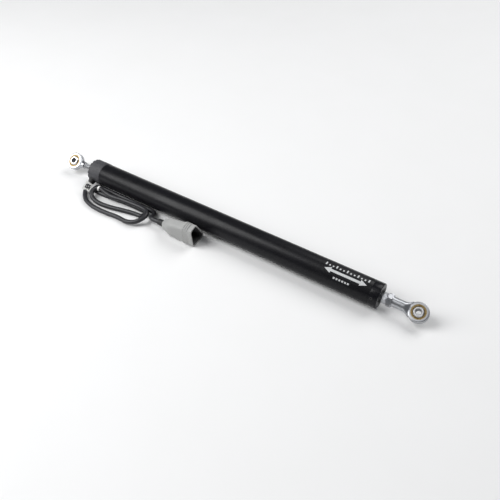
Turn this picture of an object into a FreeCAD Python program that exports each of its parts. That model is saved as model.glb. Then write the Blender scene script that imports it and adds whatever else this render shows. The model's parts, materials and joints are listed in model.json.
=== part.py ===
import FreeCAD, Part
import math
import os

V = FreeCAD.Vector

# Linear position sensor with a pull rod, two rod ends and a flying lead, in millimetres.
# +X runs along the tube towards the rod, +Z is up, and z = 0 is the surface it lies on.
# x = 0 is halfway between the two eyes with the rod pushed fully in.

# Overall layout
EYE_TO_EYE = 435.0
STROKE = 250.0
REAR_EYE_X = -EYE_TO_EYE / 2
FRONT_EYE_X = EYE_TO_EYE / 2
REAR_FACE_X = REAR_EYE_X + 31.5
FRONT_FACE_X = REAR_FACE_X + 366.0

# Housing tube and end caps
TUBE_R = 13.0
TUBE_BORE_R = 11.0
CAP_R = 13.25
AXIS_Z = CAP_R
REAR_CAP_LENGTH = 17.5
FRONT_CAP_LENGTH = 9.0
SPIGOT_R = TUBE_BORE_R - 0.02
REAR_SPIGOT_LENGTH = 12.0
FRONT_SPIGOT_LENGTH = 21.0
TUBE_X0 = REAR_FACE_X + REAR_CAP_LENGTH
TUBE_X1 = FRONT_FACE_X - FRONT_CAP_LENGTH
RIM_NOTCHES = 16
SET_SCREWS = 3
SET_SCREW_ANGLE = 160.0
SET_SCREW_R = 1.5
SET_SCREW_X = TUBE_X1 + 3.0

# Threads, shaft and bearing
THREAD_R = 3.0
THREAD_PITCH = 1.0
THREAD_DEPTH = 0.35
SHAFT_R = 4.0
FIT = 0.02
BUSH_R = 6.5
SEAL_R = 7.5

# Rod ends
EYE_R = 10.0
EYE_WIDTH = 6.75
RACE_R = 7.4
RACE_WIDTH = 6.3
BALL_R = 6.35
BALL_WIDTH = 9.0
EYE_BORE_R = 3.0
NECK_R = 5.0
FRONT_ROD_END_LENGTH = 31.0
REAR_ROD_END_LENGTH = 45.0
FRONT_EYE_ROLL = 28.0
REAR_EYE_ROLL = 40.0
HEX_FLATS = 12.0
HEX_LENGTH = 5.3
JAM_NUT_FLATS = 10.0
JAM_NUT_LENGTH = 4.6

# Sensing element inside the tube, heights taken from the tube's axis
BOARD_TOP = -6.0
BOARD_WIDTH = 12.0
BOARD_THICKNESS = 1.6
CARRIER_X0 = -150.0
CARRIAGE_LENGTH = 22.0
CARRIAGE_X0 = -128.0
CARRIER_X1 = CARRIAGE_X0 + CARRIAGE_LENGTH + STROKE + 0.5
TRACK_THICKNESS = 0.15
TRACK_WIDTH = 3.2

# Cable
CABLE_R = 2.5
GLAND_X = REAR_FACE_X + 6.0
GLAND_DROP = 20.0
GLAND_TIP = 17.6
GLAND_HOLE_R = 3.5
GLAND_RUN = 9.6

# Connector on the cable's end
SHELL_X = -60.4
SHELL_Y = -26.6
SHELL_YAW = 4.0
SHELL_LENGTH = 41.5
SHELL_WALL = 1.6
TAIL_LENGTH = 9.0
MOUTH_START = 28.5

# Receptacle sections: (y, z) centres of the round corners, lower left first, and their radius
TAIL_SECTION = {"centres": ((-2.1, 6.6), (1.9, 6.8), (-0.4, 12.2), (-3.0, 11.9)), "radius": 3.2}
SHOULDER_SECTION = {"centres": ((-4.5, 4.2), (4.8, 4.2), (-1.7, 17.6), (-6.6, 17.0)), "radius": 3.2}
BODY_SECTION = {"centres": ((-5.9, 4.0), (7.0, 4.0), (-2.8, 21.3), (-7.9, 20.6)), "radius": 3.2}
MOUTH_SECTION = {"centres": ((-5.9, 4.0), (7.0, 4.0), (-2.8, 21.3), (-7.9, 20.6)), "radius": 4.0}
RIB_SECTION = {"centres": ((-5.9, 4.0), (7.0, 4.0), (-2.6, 21.9), (-8.3, 21.2)), "radius": 4.0}
RIB_START = 30.2
RIB_PITCH = 2.4
RIB_WIDTH = 1.2
BOOT_PLUG = 3.0
INSERT_END = 18.0
LINING_WALL = 0.75
LINING_END = 39.0
PIN_PLACES = ((-3.4, 6.4), (3.4, 6.4), (-5.2, 15.0))
PIN_R = 0.8
PIN_START = 11.0
PIN_LENGTH = 18.0
BOOT_LENGTH = 9.0
BOOT_HEIGHT = 8.3
BOOT_R = 3.6

# Wrapped label and marker band on the cable
LABEL_LENGTH = 11.0
LABEL_WIDTH = 9.0
LABEL_THICKNESS = 0.5
LABEL_FACING = (0.66, -0.19, 0.73)
BAND_CORNER = 16
BAND_WIDTH = 2.2
BAND_R = 2.95

# Where the cable lies, as five strands of a coil: out round the big loop, back on top of
# the coil, round the small loop, under it along the floor to a turn by the gland, and out
# beside the tube to the connector.
CABLE_ROUTE = [
    (-174.4, -32.8, 2.7),
    (-168.0, -38.2, 2.6),
    (-159.5, -41.4, 2.6),
    (-148.0, -43.3, 2.6),
    (-132.0, -43.0, 2.6),
    (-117.0, -41.0, 2.6),
    (-103.5, -42.8, 3.0),
    (-93.0, -40.2, 5.4),
    (-87.0, -34.0, 8.0),
    (-86.6, -26.5, 9.0),
    (-91.0, -20.6, 8.9),
    (-100.5, -19.0, 8.4),
    (-114.0, -19.2, 7.7),
    (-128.0, -20.2, 7.6),
    (-141.0, -22.4, 7.6),
    (-152.0, -21.2, 7.9),
    (-159.0, -19.0, 8.3),
    (-167.0, -20.0, 8.3),
    (-169.2, -27.2, 6.1),
    (-162.0, -33.0, 3.1),
    (-150.0, -34.8, 2.6),
    (-136.0, -33.4, 2.6),
    (-120.0, -29.6, 2.6),
    (-108.0, -26.9, 2.6),
    (-100.0, -26.3, 2.6),
    (-96.3, -26.2, 2.6),
    (-93.7, -23.5, 2.6),
    (-93.7, -20.0, 2.6),
    (-96.3, -17.4, 2.6),
    (-100.0, -17.4, 2.6),
    (-110.0, -17.5, 2.6),
    (-124.0, -17.5, 2.6),
    (-137.0, -18.8, 2.6),
    (-150.0, -20.0, 2.6),
    (-160.0, -20.3, 2.6),
    (-167.2, -20.6, 2.6),
    (-170.7, -20.5, 2.6),
    (-173.2, -18.1, 2.6),
    (-173.2, -14.7, 2.6),
    (-170.7, -12.3, 2.6),
    (-167.2, -12.3, 2.6),
    (-155.0, -12.2, 2.6),
    (-140.0, -12.4, 2.6),
    (-124.0, -12.1, 2.6),
    (-108.0, -12.3, 2.6),
    (-96.0, -12.2, 2.6),
    (-88.5, -13.0, 2.9),
    (-83.5, -17.0, 4.2),
    (-82.0, -22.8, 6.4),
    (-80.0, -27.2, 8.0),
]


# ---------------------------------------------------------------- helpers
def point(x, y, height):
    """A point given by its height above the tube's axis."""
    return V(x, y, AXIS_Z + height)


def rod(x0, x1, radius):
    return Part.makeCylinder(radius, x1 - x0, point(x0, 0, 0), V(1, 0, 0))


def pipe(x0, x1, outer, inner):
    return rod(x0, x1, outer).cut(rod(x0, x1, inner))


def block(x0, x1, y0, y1, h0, h1):
    """A box whose heights are measured from the tube's axis."""
    return Part.makeBox(x1 - x0, y1 - y0, h1 - h0, point(x0, y0, h0))


def turned(outline):
    """Revolve (x, radius) points about the tube's axis."""
    corners = [point(x, 0, radius) for x, radius in outline]
    face = Part.Face(Part.makePolygon(corners + [corners[0]]))
    return face.revolve(point(0, 0, 0), V(1, 0, 0), 360)


def ring(x, major, minor):
    return Part.makeTorus(major, minor, point(x, 0, 0), V(1, 0, 0))


def hexagon(x0, x1, flats, hole_r):
    """A hexagonal nut along X with chamfered corners."""
    corner_r = flats / math.sqrt(3)
    corners = []
    for i in range(7):
        angle = math.radians(60 * i + 30)
        corners.append(point(x0, corner_r * math.cos(angle), corner_r * math.sin(angle)))
    prism = Part.Face(Part.makePolygon(corners)).extrude(V(x1 - x0, 0, 0))
    bevel = 0.7
    flat_r = flats / 2
    limit = turned([(x0, 0), (x0, flat_r), (x0 + bevel, corner_r), (x1 - bevel, corner_r),
                    (x1, flat_r), (x1, 0)])
    return prism.common(limit).cut(rod(x0 - 1, x1 + 1, hole_r))


def screw_thread(x0, x1, radius):
    """A stud whose thread is a row of parallel grooves."""
    outline = [(x0, 0), (x0, radius - THREAD_DEPTH)]
    turns = int((x1 - x0) / THREAD_PITCH) - 1
    for i in range(turns):
        start = x0 + 0.5 * THREAD_PITCH + i * THREAD_PITCH
        outline.append((start, radius))
        outline.append((start + 0.25 * THREAD_PITCH, radius))
        outline.append((start + 0.6 * THREAD_PITCH, radius - THREAD_DEPTH))
    outline += [(x1, radius - THREAD_DEPTH), (x1, 0)]
    return turned(outline)


def rounded_outline(centres, radius, x):
    """A wire in the plane x = const around circles at the (y, z) centres, listed anticlockwise."""
    edges = []
    count = len(centres)
    normals = []
    for i in range(count):
        (y0, z0), (y1, z1) = centres[i], centres[(i + 1) % count]
        size = math.hypot(y1 - y0, z1 - z0)
        normals.append(((z1 - z0) / size, -(y1 - y0) / size))
    for i in range(count):
        y0, z0 = centres[i]
        y1, z1 = centres[(i + 1) % count]
        ny, nz = normals[i]
        my, mz = normals[(i + 1) % count]
        line_end = V(x, y1 + ny * radius, z1 + nz * radius)
        edges.append(Part.makeLine(V(x, y0 + ny * radius, z0 + nz * radius), line_end))
        size = math.hypot(ny + my, nz + mz)
        middle = V(x, y1 + (ny + my) / size * radius, z1 + (nz + mz) / size * radius)
        arc_end = V(x, y1 + my * radius, z1 + mz * radius)
        edges.append(Part.Arc(line_end, middle, arc_end).toShape())
    return Part.Wire(edges)


def section_wire(x, section, inset=0.0):
    """Outline at x of a receptacle section, drawn inwards by the inset."""
    return rounded_outline(section["centres"], section["radius"] - inset, x)


def section_prism(x0, x1, section, inset=0.0):
    return Part.Face(section_wire(x0, section, inset)).extrude(V(x1 - x0, 0, 0))


def corner_arc(before, corner, after):
    """Tangent points, middle and radius of the arc that rounds one corner of a route."""
    to_before = before - corner
    to_after = after - corner
    reach = 0.45 * min(to_before.Length, to_after.Length)
    to_before.normalize()
    to_after.normalize()
    turn = math.pi - to_before.getAngle(to_after)
    radius = reach / math.tan(turn / 2)
    inward = to_before + to_after
    inward.normalize()
    middle = corner + inward * (math.hypot(radius, reach) - radius)
    return corner + to_before * reach, middle, corner + to_after * reach, radius


def swept_tube(route, tube_r, label):
    """A round tube along straight runs joined by tangent arcs."""
    edges = []
    radii = []
    start = route[0]
    for before, corner, after in zip(route, route[1:], route[2:]):
        arc_start, middle, arc_end, radius = corner_arc(before, corner, after)
        edges.append(Part.makeLine(start, arc_start))
        edges.append(Part.Arc(arc_start, middle, arc_end).toShape())
        radii.append(radius)
        start = arc_end
    edges.append(Part.makeLine(start, route[-1]))
    path = Part.Wire(edges)
    section = Part.Wire(Part.makeCircle(tube_r, route[0], route[1] - route[0]))
    tube = path.makePipeShell([section], True, False)
    expected = math.pi * tube_r ** 2 * path.Length
    print("%s: length %.1f, tightest radius %.1f, volume / expected %.4f, valid %s"
          % (label, path.Length, min(radii), tube.Volume / expected, tube.isValid()))
    print("  radii", " ".join("%.1f" % radius for radius in radii))
    return tube


def together(solids):
    return Part.makeCompound(solids)


# ---------------------------------------------------------------- housing
def housing_tube():
    tube = pipe(TUBE_X0, TUBE_X1, TUBE_R, TUBE_BORE_R)
    return tube


def gland_direction():
    drop = math.radians(GLAND_DROP)
    return V(0, -math.cos(drop), -math.sin(drop))


def gland_point(distance):
    return point(GLAND_X, 0, 0) + gland_direction() * distance


def gland_rod(inner, outer, radius, end_radius=None):
    """A round piece on the gland's axis between two distances from the tube's axis."""
    direction = gland_direction()
    base = gland_point(inner)
    if end_radius is None:
        return Part.makeCylinder(radius, outer - inner, base, direction)
    return Part.makeCone(radius, end_radius, outer - inner, base, direction)


def rear_cap():
    spigot_end = TUBE_X0 + REAR_SPIGOT_LENGTH
    chamfer = 0.9
    cap = turned([
        (REAR_FACE_X, 0), (REAR_FACE_X, CAP_R - chamfer), (REAR_FACE_X + chamfer, CAP_R),
        (TUBE_X0 - 0.4, CAP_R), (TUBE_X0, CAP_R - 0.4), (TUBE_X0, SPIGOT_R),
        (TUBE_X0 + 4.4, SPIGOT_R), (TUBE_X0 + 4.4, 9.3), (TUBE_X0 + 6.6, 9.3),
        (TUBE_X0 + 6.6, SPIGOT_R), (spigot_end, SPIGOT_R), (spigot_end, 0)])
    wall_end = REAR_FACE_X + 2.2
    boss_end = REAR_FACE_X + 16.0
    cap = cap.cut(turned([(wall_end, 4.8), (wall_end, 9.0), (spigot_end + 1, 9.0), (spigot_end + 1, 0),
                          (boss_end, 0), (boss_end, 4.8)]))
    cap = cap.cut(rod(REAR_FACE_X - 1, REAR_FACE_X + 14.0, THREAD_R + FIT))
    cap = cap.cut(gland_rod(7.0, CAP_R + 3, GLAND_HOLE_R))
    notch = block(REAR_FACE_X - 1, REAR_FACE_X + 1.7, -1.0, 1.0, CAP_R - 1.5, CAP_R + 1)
    for i in range(RIM_NOTCHES):
        cut = notch.copy()
        cut.rotate(point(0, 0, 0), V(1, 0, 0), 360.0 * (i + 0.5) / RIM_NOTCHES)
        cap = cap.cut(cut)
    return cap


def front_cap():
    spigot_start = TUBE_X1 - FRONT_SPIGOT_LENGTH
    chamfer = 0.9
    cap = turned([
        (spigot_start, 0), (spigot_start, SPIGOT_R), (TUBE_X1 - 9.0, SPIGOT_R),
        (TUBE_X1 - 9.0, 9.3), (TUBE_X1 - 6.8, 9.3), (TUBE_X1 - 6.8, SPIGOT_R),
        (TUBE_X1, SPIGOT_R), (TUBE_X1, TUBE_R - 0.3), (TUBE_X1 + 0.3, TUBE_R),
        (FRONT_FACE_X - chamfer, TUBE_R), (FRONT_FACE_X, TUBE_R - chamfer), (FRONT_FACE_X, 0)])
    cap = cap.cut(rod(spigot_start + 2, FRONT_FACE_X - 4.0, BUSH_R))
    cap = cap.cut(rod(spigot_start - 1, spigot_start + 2.5, SHAFT_R + 0.6))
    cap = cap.cut(rod(FRONT_FACE_X - 4.0, FRONT_FACE_X + 1, SEAL_R))
    cap = cap.cut(rod(FRONT_FACE_X - 1.6, FRONT_FACE_X - 0.7, SEAL_R + 0.7))
    for screw in set_screw_axes():
        cap = cap.cut(screw_rod(screw, BUSH_R - 1, TUBE_R + 1, SET_SCREW_R))
    return cap


def set_screw_axes():
    return [SET_SCREW_ANGLE + 360.0 * i / SET_SCREWS for i in range(SET_SCREWS)]


def screw_rod(angle, inner, outer, radius):
    """A radial pin in the middle of the front cap's rim."""
    turn = math.radians(angle)
    direction = V(0, math.cos(turn), math.sin(turn))
    base = point(SET_SCREW_X, 0, 0) + direction * inner
    return Part.makeCylinder(radius, outer - inner, base, direction)


def bush_set_screws():
    screws = []
    for angle in set_screw_axes():
        screw = screw_rod(angle, BUSH_R + 0.05, TUBE_R - 0.3, SET_SCREW_R - FIT)
        screws.append(screw.cut(screw_rod(angle, TUBE_R - 1.5, TUBE_R, 0.75)))
    return together(screws)


def rod_bush():
    return pipe(TUBE_X1 - FRONT_SPIGOT_LENGTH + 2.02, FRONT_FACE_X - 4.1, BUSH_R - FIT, SHAFT_R + 0.03)


def rod_wiper_seal():
    x0 = FRONT_FACE_X - 3.9
    return turned([(x0, SHAFT_R + 0.08), (x0, SEAL_R - FIT), (x0 + 2.1, SEAL_R - FIT),
                   (x0 + 2.1, SHAFT_R + 1.6), (x0 + 3.5, SHAFT_R + 0.5), (x0 + 3.5, SHAFT_R + 0.08)])


def seal_retaining_ring():
    x0 = FRONT_FACE_X - 1.55
    clip = pipe(x0, x0 + 0.8, SEAL_R + 0.65, SEAL_R - 1.2)
    return clip.cut(block(x0 - 1, x0 + 2, -1.6, 1.6, -SEAL_R - 2, 0))


# ---------------------------------------------------------------- sensing element
def board_carrier():
    """The lower segment of the bore, with a shallow seat for the board."""
    half = rod(CARRIER_X0, CARRIER_X1, TUBE_BORE_R - 0.15)
    half = half.common(block(CARRIER_X0, CARRIER_X1, -20, 20, -20, BOARD_TOP))
    seat = BOARD_WIDTH / 2 + 0.1
    half = half.cut(block(CARRIER_X0 + 1, CARRIER_X1 - 1, -seat, seat, BOARD_TOP - BOARD_THICKNESS, 0))
    return half


def track_board():
    half = BOARD_WIDTH / 2
    return block(CARRIER_X0 + 1.2, CARRIER_X1 - 1.2, -half, half, BOARD_TOP - BOARD_THICKNESS, BOARD_TOP)


def track_strip(y):
    return block(CARRIER_X0 + 12, CARRIER_X1 - 3, y - TRACK_WIDTH / 2, y + TRACK_WIDTH / 2,
                 BOARD_TOP, BOARD_TOP + TRACK_THICKNESS)


def terminal_pins():
    pins = []
    for y in (-3.6, 0.0, 3.6):
        post = block(CARRIER_X0 + 3.0, CARRIER_X0 + 5.0, y - 0.6, y + 0.6, BOARD_TOP, BOARD_TOP + 3.4)
        foot = block(CARRIER_X0 + 3.0, CARRIER_X0 + 8.0, y - 0.6, y + 0.6, BOARD_TOP, BOARD_TOP + 0.5)
        pins.append(post.fuse(foot))
    return together(pins)


def lead_wires():
    inward = gland_direction() * -1
    side = inward.cross(V(1, 0, 0))
    wires = []
    for i, y in enumerate((-3.6, 0.0, 3.6)):
        start = gland_point(8.5) + side * (1.4 * (i - 1))
        route = [start, start + inward * 2.0 + V(0.2, 0, 0), start + inward * 2.4 + V(4.0, 0, 0.3),
                 start + inward * 2.2 + V(11.5, 0, 0.1),
                 point(GLAND_X + 21.0, y - 0.6, BOARD_TOP + 3.4),
                 point(CARRIER_X0 + 2.95, y, BOARD_TOP + 2.4)]
        wires.append(swept_tube(route, 0.55, "lead wire"))
    return together(wires)


def end_bumper(x0):
    """A rubber stop that fills the bore above the board, open in the middle for the shaft."""
    disc = pipe(x0, x0 + 4.0, TUBE_BORE_R - 0.15, 7.0)
    return disc.common(block(x0, x0 + 4.0, -20, 20, BOARD_TOP + 0.3, 20))


# ---------------------------------------------------------------- carriage
def wiper_carriage():
    x1 = CARRIAGE_X0 + CARRIAGE_LENGTH
    slider = rod(CARRIAGE_X0, x1, TUBE_BORE_R - 0.4)
    slider = slider.common(block(CARRIAGE_X0, x1, -20, 20, BOARD_TOP + 1.0, 20))
    slider = slider.cut(rod(CARRIAGE_X0 - 1, x1 + 1, SHAFT_R + 0.04))
    for angle in (60, 120):
        turn = math.radians(angle)
        relief = Part.makeCylinder(2.2, CARRIAGE_LENGTH + 2, point(
            CARRIAGE_X0 - 1, 11.5 * math.cos(turn), 11.5 * math.sin(turn)), V(1, 0, 0))
        slider = slider.cut(relief)
    return slider


def wiper_fingers():
    """Two bent contact springs under the carriage, one over each track."""
    fingers = []
    top = BOARD_TOP + 0.98
    tip = BOARD_TOP + TRACK_THICKNESS + 0.05
    x0 = CARRIAGE_X0 + 4.0
    for y in (-3.0, 3.0):
        foot = block(x0, x0 + 4.0, y - 1.2, y + 1.2, top - 0.25, top)
        outline = [point(x0 + 4.0, y - 1.2, top - 0.25), point(x0 + 4.0, y - 1.2, top),
                   point(x0 + 13.0, y - 1.2, tip + 0.25), point(x0 + 15.0, y - 1.2, tip + 0.5),
                   point(x0 + 15.0, y - 1.2, tip + 0.3), point(x0 + 13.0, y - 1.2, tip)]
        blade = Part.Face(Part.makePolygon(outline + [outline[0]])).extrude(V(0, 2.4, 0))
        fingers.append(foot.fuse(blade))
    return together(fingers)


# ---------------------------------------------------------------- shaft
def sensor_shaft():
    x0 = CARRIAGE_X0 - 3.0
    shoulder = FRONT_FACE_X + 1.6
    shaft = turned([(x0, 0), (x0, SHAFT_R - 0.4), (x0 + 0.4, SHAFT_R), (shoulder - 0.4, SHAFT_R),
                    (shoulder, SHAFT_R - 0.4), (shoulder, 0)])
    for x in clip_positions():
        shaft = shaft.cut(pipe(x, x + 0.8, SHAFT_R + 1, SHAFT_R - 0.5))
    return shaft.fuse(screw_thread(shoulder, shoulder + 20.0, THREAD_R))


def clip_positions():
    return (CARRIAGE_X0 - 0.9, CARRIAGE_X0 + CARRIAGE_LENGTH + 0.1)


def shaft_clips():
    clips = []
    for x in clip_positions():
        clip = pipe(x + 0.05, x + 0.75, SHAFT_R + 1.8, SHAFT_R - 0.45)
        clips.append(clip.cut(block(x - 1, x + 2, -1.8, 1.8, -SHAFT_R - 3, 0)))
    return together(clips)


def jam_nut():
    x0 = FRONT_FACE_X + 1.7
    return hexagon(x0, x0 + JAM_NUT_LENGTH, JAM_NUT_FLATS, THREAD_R + FIT)


# ---------------------------------------------------------------- rod ends
def placed_eye(shape, x, roll, flip):
    """Move a rod end piece from its own origin, shank towards -X, to its place."""
    if flip:
        shape.rotate(V(0, 0, 0), V(0, 0, 1), 180)
    shape.rotate(V(0, 0, 0), V(1, 0, 0), roll)
    shape.translate(V(x, 0, AXIS_Z))
    return shape


def eye_disc():
    """The ring of a rod end, with bevelled rims."""
    half = EYE_WIDTH / 2
    bevel = 0.9
    corners = [(0, -half), (EYE_R - bevel, -half), (EYE_R, -half + bevel), (EYE_R, half - bevel),
               (EYE_R - bevel, half), (0, half)]
    outline = [V(x, 0, z) for x, z in corners]
    face = Part.Face(Part.makePolygon(outline + [outline[0]]))
    return face.revolve(V(0, 0, 0), V(0, 0, 1), 360)


def flared_neck(neck_r, start):
    """The neck widening into the ring while it thins to the ring's width."""
    cone = Part.makeCone(neck_r, neck_r + 2.6, start - 6.0, V(-start, 0, 0), V(1, 0, 0))
    half = EYE_WIDTH / 2
    side = [V(-start, -20, -neck_r), V(-start + 4.5, -20, -half + 0.2), V(-6.0, -20, -half + 0.2),
            V(-6.0, -20, half - 0.2), V(-start + 4.5, -20, half - 0.2), V(-start, -20, neck_r)]
    wedge = Part.Face(Part.makePolygon(side + [side[0]])).extrude(V(0, 40, 0))
    return cone.common(wedge)


def race_hole():
    return Part.makeCylinder(RACE_R + 0.01, 30, V(0, 0, -15))


def front_rod_end_housing():
    neck_start = 13.0
    hex_end = FRONT_ROD_END_LENGTH
    neck = Part.makeCylinder(NECK_R, hex_end - 1 - neck_start, V(-hex_end + 1, 0, 0), V(1, 0, 0))
    body = eye_disc().fuse([neck, flared_neck(NECK_R, neck_start)])
    nut = hexagon(-hex_end, -hex_end + HEX_LENGTH, HEX_FLATS, THREAD_R + FIT)
    nut.translate(V(0, 0, -AXIS_Z))
    hole = Part.makeCylinder(THREAD_R + FIT, 20.0, V(-hex_end - 1, 0, 0), V(1, 0, 0))
    body = body.fuse(nut).removeSplitter().cut(hole).cut(race_hole())
    return placed_eye(body, FRONT_EYE_X, FRONT_EYE_ROLL, False)


def rear_rod_end_housing():
    shank_r = 4.0
    shank_start = 12.0
    shank = Part.makeCylinder(shank_r, 2.0, V(-shank_start - 2.0, 0, 0), V(1, 0, 0))
    stud = screw_thread(-REAR_ROD_END_LENGTH, -shank_start - 2.0, THREAD_R)
    stud.translate(V(0, 0, -AXIS_Z))
    body = eye_disc().fuse([shank, flared_neck(shank_r, shank_start), stud])
    return placed_eye(body.removeSplitter().cut(race_hole()), REAR_EYE_X, REAR_EYE_ROLL, True)


def rod_end_race(x, roll):
    half = RACE_WIDTH / 2
    race = Part.makeCylinder(RACE_R, RACE_WIDTH, V(0, 0, -half))
    race = race.cut(Part.makeSphere(BALL_R + FIT))
    return placed_eye(race, x, roll, False)


def rod_end_ball(x, roll):
    half = BALL_WIDTH / 2
    slab = Part.makeBox(20, 20, BALL_WIDTH, V(-10, -10, -half))
    ball = Part.makeSphere(BALL_R).common(slab)
    ball = ball.cut(Part.makeCylinder(EYE_BORE_R, 20, V(0, 0, -10)))
    return placed_eye(ball, x, roll, False)


# ---------------------------------------------------------------- cable
def cable_gland():
    """A ribbed rubber boot pressed into the cap's side."""
    boot = gland_rod(9.2, CAP_R + 0.4, GLAND_HOLE_R - FIT)
    boot = boot.fuse(gland_rod(CAP_R + 0.3, CAP_R + 1.5, 4.2))
    boot = boot.fuse(gland_rod(CAP_R + 1.0, GLAND_TIP, 3.6, 3.0))
    boot = boot.fuse(gland_rod(CAP_R + 2.6, CAP_R + 3.4, 3.9))
    return boot.cut(gland_rod(0, GLAND_TIP + 1, CABLE_R + FIT))


def cable_entry():
    """The stretch of cable inside the gland, flush with the gland's tip."""
    return gland_rod(8.6, GLAND_TIP, CABLE_R)


def shell_frame(shape):
    """Move a connector piece from its own frame to where the connector lies."""
    shape.rotate(V(0, 0, 0), V(0, 0, 1), SHELL_YAW)
    shape.translate(V(SHELL_X, SHELL_Y, 0))
    return shape


def shell_point(x, y, z):
    turn = math.radians(SHELL_YAW)
    return V(SHELL_X + x * math.cos(turn) - y * math.sin(turn),
             SHELL_Y + x * math.sin(turn) + y * math.cos(turn), z)


def cable():
    route = [gland_point(GLAND_TIP), gland_point(GLAND_TIP + GLAND_RUN)]
    route += [V(*corner) for corner in CABLE_ROUTE]
    route += [shell_point(-BOOT_LENGTH - 5.5, 0, BOOT_HEIGHT), shell_point(-BOOT_LENGTH, 0, BOOT_HEIGHT)]
    return swept_tube(route, CABLE_R, "cable")


def cable_label():
    """A flat label whose middle is wrapped round the cable beside the gland."""
    tip = gland_point(GLAND_TIP)
    along = gland_direction()
    facing = V(*LABEL_FACING)
    across = facing.cross(along)
    across.normalize()
    facing = along.cross(across)
    top = CABLE_R + 0.25
    sleeve = Part.makeCylinder(top, LABEL_LENGTH, V(-LABEL_LENGTH / 2, 0, 0), V(1, 0, 0))
    plate = Part.makeBox(LABEL_LENGTH, LABEL_WIDTH, LABEL_THICKNESS,
                         V(-LABEL_LENGTH / 2, -LABEL_WIDTH / 2, top - LABEL_THICKNESS))
    label = sleeve.fuse(plate)
    turn = FreeCAD.Rotation(along, across, facing, "XYZ")
    centre = tip + along * (LABEL_LENGTH / 2 + 0.4)
    label.Placement = FreeCAD.Placement(centre, turn)
    return label


def cable_marker_band():
    before = V(*CABLE_ROUTE[BAND_CORNER])
    direction = V(*CABLE_ROUTE[BAND_CORNER + 1]) - before
    middle = before + direction * 0.5
    direction.normalize()
    start = middle - direction * (BAND_WIDTH / 2)
    band = Part.makeCylinder(BAND_R, BAND_WIDTH, start, direction)
    return band.cut(Part.makeCylinder(CABLE_R + FIT, BAND_WIDTH, start, direction))


# ---------------------------------------------------------------- connector
def receptacle_core(inset, x0, x1):
    """The body's inside between x0 and x1: its outline drawn inwards, tapered and then straight."""
    taper = Part.makeLoft([section_wire(TAIL_LENGTH, SHOULDER_SECTION, inset),
                           section_wire(MOUTH_START, BODY_SECTION, inset)], True, True)
    core = taper.fuse(section_prism(MOUTH_START, SHELL_LENGTH + 1, BODY_SECTION, inset))
    reach = 2 * SHELL_LENGTH
    return core.common(Part.makeBox(x1 - x0, reach, reach, V(x0, -reach / 2, -reach / 2)))


def connector_shell():
    """The receptacle: a tapered tail and body, and a straight mouth with ribs across its top."""
    shell = Part.makeLoft([section_wire(0, TAIL_SECTION), section_wire(TAIL_LENGTH, SHOULDER_SECTION),
                           section_wire(MOUTH_START, BODY_SECTION)], True, True)
    shell = shell.fuse(section_prism(MOUTH_START, SHELL_LENGTH, MOUTH_SECTION))
    for i in range(3):
        start = RIB_START + RIB_PITCH * i
        shell = shell.fuse(section_prism(start, start + RIB_WIDTH, RIB_SECTION))
    shell = shell.cut(receptacle_core(SHELL_WALL, TAIL_LENGTH, SHELL_LENGTH + 1))
    shell = shell.cut(Part.makeCylinder(BOOT_R + FIT, BOOT_PLUG + 1 + FIT, V(-1, 0, BOOT_HEIGHT), V(1, 0, 0)))
    return shell_frame(shell)


def connector_insert():
    """The block that holds the pins, and the thin seal lining the mouth in front of it."""
    insert = receptacle_core(SHELL_WALL + FIT, TAIL_LENGTH + FIT, LINING_END)
    insert = insert.cut(receptacle_core(SHELL_WALL + FIT + LINING_WALL, INSERT_END, SHELL_LENGTH))
    for y, z in PIN_PLACES:
        insert = insert.cut(Part.makeCylinder(PIN_R + FIT, SHELL_LENGTH, V(0, y, z), V(1, 0, 0)))
    return shell_frame(insert)


def connector_pins():
    pins = []
    for y, z in PIN_PLACES:
        shank = Part.makeCylinder(PIN_R, PIN_LENGTH, V(PIN_START, y, z), V(1, 0, 0))
        tip = Part.makeCone(PIN_R, 0.3, 1.2, V(PIN_START + PIN_LENGTH, y, z), V(1, 0, 0))
        pins.append(shell_frame(shank.fuse(tip)))
    return together(pins)


def connector_boot():
    """The tapered sleeve between the cable and the receptacle's rear wall."""
    base = V(-BOOT_LENGTH, 0, BOOT_HEIGHT)
    boot = Part.makeCone(CABLE_R + 0.7, BOOT_R + 0.4, BOOT_LENGTH - FIT, base, V(1, 0, 0))
    plug = Part.makeCylinder(BOOT_R, BOOT_PLUG + FIT, V(-FIT, 0, BOOT_HEIGHT), V(1, 0, 0))
    return shell_frame(boot.fuse(plug))


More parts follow.
